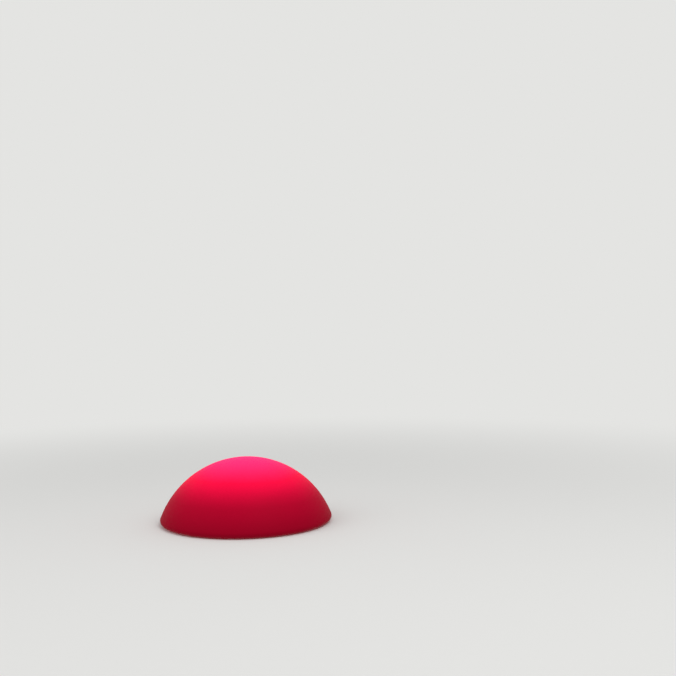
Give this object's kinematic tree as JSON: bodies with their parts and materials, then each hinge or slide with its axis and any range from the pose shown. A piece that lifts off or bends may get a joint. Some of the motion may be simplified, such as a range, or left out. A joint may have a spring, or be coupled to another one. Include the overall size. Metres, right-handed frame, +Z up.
{
  "type": "dome lamp",
  "caption": "Low round light with a glowing moulded dome, lit by a rechargeable lamp unit that unscrews from its underside.",
  "frame": {"origin": "on the ground below the middle of the dome, at the underside of the foot pads", "axes": "+Z up along the dome's axis; -Y is the side of the charging socket, +Y the side of the push switch"},
  "size_m": [0.35, 0.3499, 0.132],
  "materials": {
    "dome_polyethylene": "satin",
    "grey_abs": "satin",
    "black_abs": "satin",
    "black_rubber": "matte",
    "seal_silicone": "satin",
    "plug_silicone": "satin",
    "button_plastic": "satin",
    "stainless_steel": "satin",
    "nickel": "satin",
    "brass": "satin",
    "aluminium": "satin",
    "cell_wrap": "gloss",
    "circuit_board": "gloss",
    "component_epoxy": "matte",
    "white_board": "gloss",
    "led_phosphor": "gloss",
    "clear_polycarbonate": "gloss",
    "lead_pvc": "satin"
  },
  "bodies": {
    "shell": {"diffuser_shell": "dome_polyethylene", "neck_collar": "grey_abs", "collar_gasket": "black_rubber", "collar_screws": "stainless_steel", "threaded_inserts": "brass", "foot_pads": "black_rubber"},
    "seal": {"neck_seal": "seal_silicone"},
    "light_unit": {"unit_housing": "grey_abs", "battery_tray": "black_abs", "battery_cell_front": "cell_wrap", "battery_cell_rear": "cell_wrap", "nickel_strips": "nickel", "battery_straps": "black_abs", "strap_screws": "stainless_steel", "control_board": "circuit_board", "board_parts": "component_epoxy", "board_spacers": "brass", "board_screws": "stainless_steel", "heat_spreader": "aluminium", "led_board": "white_board", "led_chips": "led_phosphor", "led_screws": "stainless_steel", "lens_gasket": "seal_silicone", "lens_cover": "clear_polycarbonate", "lens_screws": "stainless_steel", "charging_jack": "black_abs", "jack_pin": "brass", "jack_nut": "nickel", "switch_body": "stainless_steel", "switch_nut": "nickel", "indicator_lamp": "clear_polycarbonate", "panel_leads": "lead_pvc", "battery_leads": "lead_pvc", "led_lead": "lead_pvc", "plug_anchor": "plug_silicone"},
    "power_button": {"button_cap": "button_plastic"},
    "port_flap": {"port_plug": "plug_silicone"}
  },
  "joints": [
    {"name": "unit_travel", "type": "slide", "parent": "shell", "child": "seal", "axis": [0, 0, -1], "range_m": [0, 0.00935]},
    {"name": "unit_twist", "type": "hinge", "parent": "seal", "child": "light_unit", "pos_m": [0, 0, 0], "axis": [0, 0, -1], "range_deg": [0, 280]},
    {"name": "button_press", "type": "slide", "parent": "light_unit", "child": "power_button", "axis": [0, 0, 1], "range_m": [0, 0.0015], "stiffness_N_per_m": 600, "springref_m": -0.002},
    {"name": "port_plug_swing", "type": "hinge", "parent": "light_unit", "child": "port_flap", "pos_m": [-0.0105, -0.036, 0.0103], "axis": [0, 1, 0], "range_deg": [0, 110]}
  ],
  "couplings": [
    {"joint": "unit_travel", "follows": "unit_twist", "m_per_rad": 0.0019099}
  ]
}
